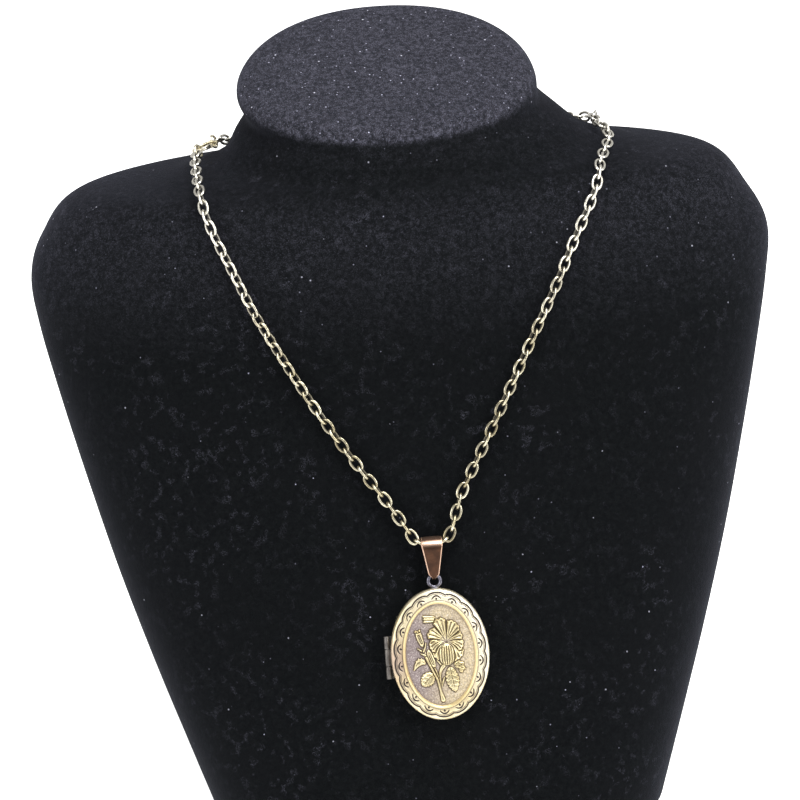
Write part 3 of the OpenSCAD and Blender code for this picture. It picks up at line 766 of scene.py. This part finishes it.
def rimHeights(inset, s, total):  # height, cuts and bead at each inset, along the edge s
    lobe = total / locket['lobes']
    phase = (s / lobe + 0.5) % 1 - 0.5
    ds = phase * lobe
    lip = 1 - np.clip(1 - (inset - rim['faceIn']) / rim['domeOver'], 0, 1) ** 2
    lip = rim['edgeZ'] + rim['domeUp'] * lip
    fall = smoothStep((inset - rim['fallIn']) / rim['fallOver'])
    bead = rounded((inset - rim['beadIn']) / rim['beadHalf'])
    z = lip * (1 - fall) + locket['fieldZ'] * fall + rim['beadUp'] * bead
    line = (rim['lobeCusp'] - rim['lobeMiddle']) * np.abs(2 * phase) ** rim['lobePower']
    line = rim['lobeMiddle'] + line
    cut = np.exp(-(np.abs(inset - line) / (rim['lineWidth'] * 0.42)) ** 4)
    fine = np.exp(-((inset - line - rim['fineIn']) / rim['fineWidth']) ** 2) * 0.6
    arc = (rim['arcEnd'] - rim['arcMiddle']) * (ds / rim['arcHalf']) ** 2
    arc = rim['arcMiddle'] + arc
    taper = smoothStep((rim['arcHalf'] + 0.15 - np.abs(ds)) / 0.35)
    arcCut = np.exp(-(np.abs(inset - arc) / rim['arcWidth'] * 2) ** 4) * taper
    dot = np.exp(-(np.hypot(ds, inset - rim['dotIn']) / rim['dotR']) ** 4)
    cuts = np.maximum.reduce([cut, fine, arcCut, dot])
    groove = np.exp(-((inset - rim['grooveIn']) / rim['grooveWidth']) ** 2) * 0.55
    z = z - rim['cutDepth'] * cuts - rim['grooveDepth'] * groove
    return z, np.maximum(cuts, groove), bead + 0 * s


def rimFinish():
    f = Finish('rimBrass')
    age, bead = f.mark('age'), f.mark('bead')
    cloud, fine = f.noise(260, 3), f.noise(2600, 3, 0.6)
    base = f.layers(
        rimBrass['bright'], (f.step(cloud, 0.35, 0.7), rimBrass['warm']),
        # painted light to the upper right, and painted rose shade to the left
        (f.mark('light') * 0.8, rimBrass['light']), (f.mark('rose') * 0.75, rimBrass['rose']),
        (bead * 0.8, rimBrass['bead']), ((age * 1.5).clamped(), rimBrass['dark']))
    return f.surface(
        baseColor=base, metallic=0.72 - 0.7 * age, normal=f.bump(cloud, 0.000008, 0.4),
        roughness=(0.36 + 0.05 * fine + 0.3 * age).clamped())


def makeRim():
    count = locket['around']
    s, total = ovalWay(count)[1:]
    face = np.arange(rim['faceIn'], locket['fieldIn'] + 0.001, rim['step'])
    heights, age, bead = rimHeights(face[:, None], s, total)
    (wallIn, wallZ), (underIn, underZ) = zip(*rim['wall']), zip(*rim['under'])
    sides = ((len(wallIn), len(underIn)), (0, 0))
    z = np.pad(heights, sides)
    z[:len(wallZ)] = np.array(wallZ)[:, None]
    z[-len(underZ):] = np.array(underZ)[:, None]
    points = ovalPoints(np.concatenate([wallIn, face, underIn])[:, None], z, count)
    x, y = points[..., 0], points[..., 1]
    # painted shade, rose toned, to the left, and painted light, lighter to the upper right
    shape = Shape().add(
        points, gridFaces(len(points), count, ringRows=True), age=np.pad(age, sides),
        bead=np.pad(bead, sides), rose=np.exp(-((y + 1) / 5) ** 2) * (x < 0),
        light=smoothStep((x / 12 + y / 16 + 0.3) / 1.3))
    fasten(shape.build('coverRim', rimFinish(), onLocket), 'cover', 'locket_cover')


# Locket: stamped flower

flower = dict(
    throat=(1.67, 3.16),
    # kind, sizes, and its lines or places, in millimetres from the middle of the oval;
    # each form lies over those before it
    forms=[
        # right-hand leaf, with its veins
        ('patch', dict(up=0.5), [
            (3.11, -2.71), (3.44, -1.91), (3.95, -1.85), (4.4, -1.5), (4.85, -1.95), (5.6, -2.2),
            (5.55, -3.0), (6.05, -4.0), (5.4, -4.14), (5.19, -4.8), (4.43, -4.61), (4.14, -3.87),
            (3.54, -3.5)]),
        ('groove', dict(width=0.12, depth=0.22), [(3.22, -2.81), (3.97, -2.3), (4.5, -1.95)],
         [(3.22, -2.86), (4.51, -3.25), (5.6, -3.8)], [(3.33, -2.94), (4.13, -3.63), (4.8, -4.4)],
         [(4.1, -3.1), (4.8, -2.8), (5.3, -2.5)]),
        # long leaf to the lower right, and round leaf to the lower left
        ('leaf', dict(width=3.15, up=0.55, teeth=7, belly=0.47, bite=0.14, veins=5),
         [(2.1, -3.1), (2.35, -5.0), (2.68, -7.0), (3.1, -9.3)]),
        ('leaf', dict(width=3.3, up=0.52, teeth=7, belly=0.48, bite=0.12, veins=4),
         [(-1.7, -4.75), (-3.1, -5.5), (-4.9, -7.3)]),
        # drooping leaf to the middle left
        ('patch', dict(up=0.5), [
            (-3.66, -1.67), (-3.9, -0.98), (-4.3, -0.78), (-4.6, -0.42), (-5.05, -0.68),
            (-5.42, -0.45), (-5.72, -0.9), (-6.15, -1.04), (-6.2, -1.5), (-6.49, -2.1),
            (-6.81, -3.5), (-6.22, -3.14), (-5.46, -2.52), (-4.53, -2.19), (-3.71, -2.1)]),
        ('groove', dict(width=0.12, depth=0.24),
         [(-3.74, -1.78), (-4.6, -1.4), (-5.44, -1.5), (-6.3, -2.4)]),
        ('groove', dict(width=0.1, depth=0.2), [(-3.88, -1.3), (-4.81, -0.95), (-5.66, -1.1)]),
        # twig, a short stem and the second stem
        ('stem', dict(widths=[0.34, 0.46, 0.5], up=0.42),
         [(0.52, -5.7), (0.1, -6.8), (-0.4, -8.1)]),
        ('stem', dict(widths=[0.34, 0.4, 0.6], up=0.4),
         [(-0.9, -1.2), (-0.1, -2.3), (0.45, -3.0)]),
        ('stem', dict(widths=[0.95, 0.7, 0.5, 0.5, 0.5], up=0.46),
         [(0.62, -2.75), (-0.05, -3.6), (-0.45, -5.0), (-0.5, -6.8), (-0.6, -8.6)]),
        # leaf between the stems, with a raised border and rib
        ('leaf', dict(width=1.75, up=0.46, teeth=3, belly=0.5, bite=0.0, veins=0),
         [(-2.85, 1.5), (-2.5, -0.6), (-1.55, -3.4)]),
        ('groove', dict(width=0.3, depth=0.22), [(-2.75, 0.9), (-2.4, -0.7), (-1.75, -2.6)]),
        ('ridge', dict(width=0.24, up=0.4), [(-2.72, 0.6), (-2.3, -0.8), (-1.85, -2.2)]),
        ('stem', dict(widths=[0.3, 0.34, 0.4], up=0.36),
         [(-1.6, -3.2), (-1.15, -4.3), (-0.95, -5.4)]),
        # main stem, broad at its cut end, and a side shoot
        ('stem', dict(widths=[0.75, 0.62, 0.52, 0.5, 0.55, 0.6, 1.15], up=0.55), [
            (-3.95, 1.5), (-3.75, 0.3), (-3.1, -1.4), (-2.16, -3.64), (-1.11, -6.1), (-0.6, -8.6),
            (-0.1, -11.0)]),
        ('stem', dict(widths=[0.2, 0.42, 0.5], up=0.42),
         [(-4.77, 0.66), (-4.14, 0.33), (-3.66, 0.1)]),
        # closed bud to the left: a hollow tube, its crown and its calyx
        ('patch', dict(up=0.5, crown=0.25), [
            (-5.72, 5.81), (-5.2, 5.86), (-4.74, 6.1), (-4.25, 5.56), (-3.86, 4.09),
            (-3.8, 2.77), (-4.22, 2.13), (-4.76, 2.71), (-5.36, 3.95), (-5.65, 4.97)]),
        ('groove', dict(width=0.42, depth=0.34), [(-5.05, 5.35), (-4.65, 4.1), (-4.22, 2.8)]),
        ('ridge', dict(width=0.2, up=0.34), [(-4.95, 4.95), (-4.6, 4.0), (-4.3, 3.1)]),
        ('bead', dict(radius=0.31, up=0.6), (-5.63, 6.07), (-5.14, 5.98), (-4.67, 6.2)),
        ('stem', dict(widths=[0.24, 0.4, 0.5], up=0.55),
         [(-5.48, 1.95), (-4.68, 1.35), (-3.95, 0.95)]),
        ('stem', dict(widths=[0.24, 0.42, 0.5], up=0.55),
         [(-3.35, 3.1), (-3.55, 2.16), (-4.0, 1.1)]),
        # half open bud at the top left
        ('bud', dict(length=3.3, slope=0.06, up=0.52), (-0.38, 8.75)),
        ('bead', dict(radius=0.24, up=0.5), (-0.42, 8.75)),
    ],
    # direction and half spread in degrees, reach, height, ribs, droop, tilt; back petals first
    petals=[
        (128, 26, 4.9, 0.56, 4, 24, 0.0),
        (-128, 25, 5.35, 0.6, 4, -20, 0.0),
        (84, 26, 4.3, 0.62, 4, 26, 0.0),
        (-88, 26, 4.3, 0.64, 4, -22, 0.0),
        (50, 22, 4.95, 0.64, 3, 8, 0.0),
        (-58, 23, 4.2, 0.62, 3, -8, 0.0),
        (-29, 25, 5.15, 0.7, 4, -2, 0.1),
        (14, 18, 5.95, 0.76, 3, 2, 0.0),
    ],
    frontPetal=dict(start=(1.56, 2.66), length=5.35, half=1.86, widest=0.56, ribs=3, up=0.98),
)


def wayDistance(x, y, way):  # how far away an open line is, and how far along it that is
    best, along, walked = np.full(x.shape, 99.0), np.zeros(x.shape), 0.0
    for a, b in zip(way, way[1:]):
        step = math.dist(a, b)
        ux, uy = (b[0] - a[0]) / step, (b[1] - a[1]) / step
        t = np.clip((x - a[0]) * ux + (y - a[1]) * uy, 0, step)
        away = np.hypot(x - a[0] - t * ux, y - a[1] - t * uy)
        along = np.where(away < best, walked + t, along)
        best = np.minimum(best, away)
        walked += step
    return best, along / walked


class Relief:  # the stamped height over the points x, y, in millimetres
    def __init__(self, x, y):
        self.x, self.y, self.height = x, y, np.zeros(x.shape)

    def lineDistance(self, knots):
        return wayDistance(self.x, self.y, smoothWay(knots, 5))

    def lay(self, edge, rise, soft=0.09, moat=0.85):  # over the rest, with a dark cut round it
        cover = smoothStep(edge / soft)
        cut = 1 - moat * np.exp(-(np.minimum(edge, 0) / 0.2) ** 2)
        self.height = self.height * cut * (1 - cover) + rise * cover

    def groove(self, knots, width, depth):
        away, along = self.lineDistance(knots)
        thin = np.clip(6 * np.minimum(along + 0.1, 1.05 - along), 0.2, 1)
        cut = depth * thin * np.exp(-(away / (width * thin)) ** 2)
        self.height = self.height - cut * smoothStep(self.height / 0.2)

    def ridge(self, knots, width, up):
        away, along = self.lineDistance(knots)
        half = width / 2 * np.clip(5 * np.minimum(along + 0.12, 1.12 - along), 0.3, 1)
        self.lay(half - away, up * (0.35 + 0.65 * rounded(away / half)), 0.06, 0.55)

    def stem(self, knots, widths, up):
        away, along = self.lineDistance(knots)
        half = np.interp(along, np.linspace(0, 1, len(widths)), np.array(widths) / 2)
        self.lay(half - away, up * (0.3 + 0.7 * rounded(away / half)), 0.06)

    def bead(self, place, radius, up):
        away = np.hypot(self.x - place[0], self.y - place[1])
        dome = np.sqrt(np.clip(1.15 - (away / radius) ** 2, 0, 1))
        self.lay(radius - away, up * dome, 0.05, 0.5)

    # a leaf from foot to tip through a middle line, with teeth and slanting veins
    def leaf(self, knots, width, up, teeth, belly, bite, veins):
        away, along = self.lineDistance(knots)
        power = math.log(0.5) / math.log(belly)
        half = width / 2 * np.power(np.sin(math.pi * np.power(along, power)), 0.62)
        half = half * (1 - bite + bite * 1.6 * np.abs(np.sin(math.pi * (teeth * along + 0.15))))
        edge = half - away
        rise = up * (0.5 + 0.5 * smoothStep(edge / 0.5)) + 0.05 * smoothStep((0.3 - edge) / 0.25)
        if veins:
            rise = rise - 0.22 * np.exp(-(away / 0.11) ** 2) * smoothStep((0.92 - along) / 0.2)
            slant = (along * veins - 0.5 * away + 0.2) % 1.0 - 0.5
            vein = 0.15 * np.exp(-(slant / 0.1) ** 2)
            rise = rise - vein * smoothStep(edge / 0.2) * smoothStep(away / 0.15)
        self.lay(edge, rise)

    def patch(self, knots, up, crown=0.4):  # a form with the closed outline that the knots give
        way = smoothWay([knots[-1]] + knots + knots[:2], 5)[5:-5]
        away = wayDistance(self.x, self.y, way)[0]
        inside = np.zeros(self.x.shape, bool)
        for (ax, ay), (bx, by) in zip(way, way[1:]):
            if ay != by:
                crossing = ax + (self.y - ay) * (bx - ax) / (by - ay)
                inside ^= ((ay > self.y) != (by > self.y)) & (self.x < crossing)
        edge = np.where(inside, away, -away)
        self.lay(edge, up * (0.5 + 0.5 * smoothStep(edge / crown)))

    def bud(self, foot, length, slope, up):  # lies to the left from its foot, in three bands
        dx, dy = self.x - foot[0], self.y - foot[1]
        along, across = -dx - slope * dy, dy + slope * dx
        half = 0.42 + 0.42 * smoothStep(along / 0.8) + 0.08 * along / 3.4
        band = np.abs(np.abs(across / half) - 0.36)
        tip = length - 0.22 * np.exp(-(band / 0.2) ** 2)
        edge = np.minimum(half - np.abs(across), np.minimum(along, tip - along))
        rise = up * (0.55 + 0.45 * smoothStep(edge / 0.3))
        self.lay(edge, rise - 0.24 * np.exp(-(band / 0.12) ** 2))

    # a petal that fans out from the throat; turn is in degrees from +Y, to the left
    def fan(self, throat, turn, spread, reach, up, ribs, droop, tilt):
        dx, dy = self.x - throat[0], self.y - throat[1]
        r = np.hypot(dx, dy)
        theta = np.degrees(np.arctan2(-dx, dy)) - droop * np.clip(r / reach, 0, 1.2) ** 1.6 - turn
        v = ((theta + 180) % 360 - 180) / spread
        side, wave = np.clip(v, -1.1, 1.1), np.cos(math.pi * ribs * (v + 1))
        rimR = reach * (1 + tilt * side) * (1 - 0.13 * np.abs(side) ** 3) + 0.09 * wave
        edge = np.minimum((1 - np.abs(v)) * math.radians(spread) * r, rimR - r)
        share = np.clip(r / reach, 0, 1)
        rise = up * (0.3 + 0.7 * smoothStep((share - 0.08) / 0.5))
        rise = rise * (0.6 + 0.4 * smoothStep(edge / 0.35))
        rise = rise + 0.1 * np.exp(-((rimR - r - 0.24) / 0.17) ** 2)
        fold = 0.24 * (1 - (0.5 - 0.5 * wave) ** 1.3)
        fold = fold * smoothStep((share - 0.08) / 0.2) * smoothStep((rimR - r) / 0.6)
        self.lay(edge, rise - fold)

    # the front petal hangs like an egg, with ribs from end to end
    def egg(self, start, length, half, widest, ribs, up):
        fall = (start[1] - self.y) / length
        q = (fall - widest) / np.where(fall < widest, widest, 1 - widest)
        reach = half * np.sqrt(np.clip(1 - np.abs(q) ** 2.3, 0, 1))
        dx = self.x - start[0]
        v = np.clip(dx / (0.5 * half + 0.5 * reach), -1, 1)
        wave = (0.5 - 0.5 * np.cos(2 * math.pi * ribs * (v + 1))) ** 0.9
        edge = np.where((fall > 0) & (fall < 1), reach - np.abs(dx), -1)
        edge = np.minimum(edge, length * np.minimum(fall + 0.02, 1.0 - fall))
        rise = up * (0.5 + 0.5 * smoothStep(edge / 0.9)) * (0.5 + 0.5 * smoothStep(fall / 0.5))
        cut = 0.3 * (1 - wave) * smoothStep(edge / 0.3) * smoothStep((fall - 0.05) / 0.12)
        self.lay(edge, rise - cut, moat=1.0)


def flowerHeight(x, y):
    relief = Relief(x, y)
    for kind, sizes, *lines in flower['forms']:
        for knots in lines:
            getattr(relief, kind)(knots, **sizes)
    for petal in flower['petals']:
        relief.fan(flower['throat'], *petal)
    relief.egg(**flower['frontPetal'])
    throatX, throatY = flower['throat']
    dip = np.exp(-(((x - throatX) / 0.6) ** 2 + ((y - throatY + 0.05) / 0.4) ** 2))
    return np.maximum(relief.height * (1 - 0.8 * dip), 0)


# Locket: field behind the flower

field = dict(
    cols=250, rows=370, inset=3.4, raisedOver=0.22, blurReach=5, shadeFrom=0.004, shadeOver=0.07,
    throatShade=(1.67, 3.05, 0.55, 0.4), underRings=(0.8, 0.6, 0.4, 0.2, 0.05),
)
fieldBrass = dict(
    cold=(140, 127, 126), goldenLight=(198, 182, 150), pit=(80, 68, 64),
    glint=(222, 214, 206), form=(212, 200, 162), warm=(188, 173, 132), dark=(64, 48, 30),
)


def boxBlur(values, reach):  # the mean of the points near by, along both axes
    for axis in range(2):
        total = np.cumsum(np.pad(values, ((reach, reach + 1), (0, 0)), 'edge'), 0)
        values = ((total[2 * reach:-1] - total[:-2 * reach - 1]) / (2 * reach)).T
    return values


def fieldFinish():
    f = Finish('stampedBrass')
    age, raised = f.mark('age'), f.mark('raised')
    cloud, fine, glint = f.noise(300, 3), f.noise(2600, 3, 0.6), f.noise(3300, 2, 0.7)
    stipple = f.node('TexVoronoi', {'Vector': f.coords, 'Scale': 2600.0}, 'Distance')
    ground = f.layers(
        # painted light: the ground is painted golden where the mark 'warm' is high
        fieldBrass['cold'], (f.mark('warm'), fieldBrass['goldenLight']),
        (f.step(stipple, 0.25, 0.75) * 0.45, fieldBrass['pit']),
        # painted glints: small light specks on the ground
        (f.step(glint, 0.56, 0.7) * 0.7, fieldBrass['glint']))
    form = f.mix(f.step(cloud, 0.35, 0.7), fieldBrass['form'], fieldBrass['warm'])
    # dark patina beside the forms, and painted shade along the bead and in the throat
    base = f.mix(age * 0.9, f.mix(raised, ground, form), fieldBrass['dark'])
    return f.surface(
        baseColor=base, metallic=(0.6 + 0.35 * raised - 0.5 * age).clamped(),
        roughness=(0.5 - 0.18 * raised + 0.25 * age).clamped(),
        normal=f.bump((1 - raised) * stipple + 0.3 * fine, 0.00003, 0.7))


def makeField():
    cols, rows = field['cols'], field['rows']
    u, v = np.meshgrid(np.linspace(-1, 1, cols), np.linspace(-1, 1, rows))
    discU, discV = u * np.sqrt(1 - v * v / 2), v * np.sqrt(1 - u * u / 2)
    x = discU * (locket['width'] / 2 - field['inset'])
    y = discV * (locket['height'] / 2 - field['inset'])
    height = flowerHeight(x, y)
    height[0], height[-1], height[:, 0], height[:, -1] = 0, 0, 0, 0
    raised = smoothStep(height / field['raisedOver'])
    # dark where it lies deep: patina beside the forms, and painted shade along the bead and in the
    # throat
    bead = smoothStep((np.hypot(discU, discV) - 0.9) / 0.1)
    dip = boxBlur(height, field['blurReach']) - height
    age = smoothStep((dip - field['shadeFrom']) / field['shadeOver'])
    # painted shade in the flower's throat
    throatX, throatY, wide, high = field['throatShade']
    throat = np.exp(-(((x - throatX) / wide) ** 2 + ((y - throatY) / high) ** 2))
    age = np.maximum(np.clip(age + bead * 0.6, 0, 1), throat)
    # painted light: the ground is painted golden at the top and to the lower right, where it
    # catches the light, and darker to the left
    warm = smoothStep(0.42 + 0.075 * x - 0.02 * y)
    warm = np.clip(warm + np.exp(-(x / 3.5) ** 2 - ((y - 9.8) / 2.5) ** 2), 0, 1)
    # a skirt round the face, and the flat underside inside it
    points = np.stack([x, y, locket['fieldZ'] + height], -1).reshape(-1, 3)
    index = np.arange(rows * cols).reshape(rows, cols)
    border = np.concatenate([index[0, :-1], index[:-1, -1], index[-1, :0:-1], index[:0:-1, 0]])
    down = [0, 0, locket['plateZ']]
    skirt = points[border] * [1, 1, 0] + down
    under = np.concatenate([skirt] + [skirt * [k, k, 0] + down for k in field['underRings']])
    total, n = rows * cols, len(border)
    faces = gridFaces(rows, cols, ringCols=False)
    faces += [[int(border[k]), int(border[(k + 1) % n]), total + (k + 1) % n, total + k]
              for k in range(n)]
    faces += gridFaces(len(under) // n, n, start=total)
    faces += [list(range(total + len(under) - n, total + len(under)))]
    blank = np.zeros(len(under))
    shape = Shape().add(
        np.concatenate([points, under]), faces, age=np.concatenate([age.ravel(), blank]),
        raised=np.concatenate([raised.ravel(), blank + 0.8]),
        warm=np.concatenate([warm.ravel(), blank]))
    piece = shape.build('coverField', fieldFinish(), onLocket)
    fasten(piece, 'cover', 'locket_cover')


# Floor, light and camera

studio = dict(
    floor=(0.9, 0.9, 0.9, 1.0), floorHalf=40000, floorGlow=0.75, world=0.55,
    # place and target in metres, size in metres, power in watts
    lamps={
        'topLight': ((0.25, -0.25, 1.1), (0, 0, 0.12), 0.7, 14),
        'leftLight': ((-0.8, -0.6, 0.5), (0, 0, 0.1), 0.5, 5),
        'rightLight': ((0.8, -0.7, 0.6), (0, 0, 0.1), 0.5, 7),
    },
)
view = dict(
    elevation=22, azimuth=-2.5, roll=-3.5, distance=600, target=(0, -8.8, 105), lens=108,
    shiftX=-0.01934, shiftY=-0.005,
)


def makeStudio():
    floor, r = Finish('paleFloor'), studio['floorHalf']
    finish = floor.surface(baseColor=studio['floor'], roughness=0.9,
                           emissionColor=(1, 1, 1, 1), emissionStrength=studio['floorGlow'])
    corners = [[-r, -r, 0], [r, -r, 0], [r, r, 0], [-r, r, 0]]
    Shape().add(corners, [[0, 1, 2, 3]]).build('floor', finish)
    # the world shows white behind the floor, and lights the scene less than that
    world = bpy.data.worlds.new('studio')
    world.use_nodes = True
    tree = world.node_tree
    background = tree.nodes['Background']
    background.inputs['Color'].default_value = (1, 1, 1, 1)
    seen = addNode(tree, 'ShaderNodeLightPath').outputs['Is Camera Ray']
    blend = addNode(tree, 'ShaderNodeMapRange', {
        'Value': seen, 'To Min': studio['world'], 'To Max': 1.0})
    tree.links.new(blend.outputs[0], background.inputs['Strength'])
    bpy.context.scene.world = world
    bpy.context.scene.view_settings.view_transform = 'Standard'
    for name, (place, target, size, power) in studio['lamps'].items():
        light = bpy.data.lights.new(name, 'AREA')
        light.shape, light.size, light.energy = 'SQUARE', size, power
        holder = putObject(name, light)
        holder.location = place
        aim = Vector(target) - Vector(place)
        holder.rotation_euler = aim.to_track_quat('-Z', 'Y').to_euler()


def makeCamera():
    high, side = math.radians(view['elevation']), math.radians(view['azimuth'])
    aim = Vector((math.sin(side) * math.cos(high), -math.cos(side) * math.cos(high),
                  math.sin(high)))
    camera = bpy.data.cameras.new('camera')
    camera.lens, camera.sensor_width = view['lens'], 36
    camera.shift_x, camera.shift_y = view['shiftX'], view['shiftY']
    camera.clip_start, camera.clip_end = 0.01, 20
    holder = putObject('camera', camera)
    holder.location = (Vector(view['target']) + aim * view['distance']) * mm
    roll = Matrix.Rotation(math.radians(view['roll']), 4, 'Z')
    turn = aim.to_track_quat('Z', 'Y').to_matrix().to_4x4() @ roll
    holder.rotation_euler = turn.to_euler()
    bpy.context.scene.camera = holder


for make in (makeBust, makeChain, makeClasp, makeBail, makeBack, makeHinge, makeRim, makeField,
             makeStudio, makeCamera):
    make()
    print(make.__name__, 'done')
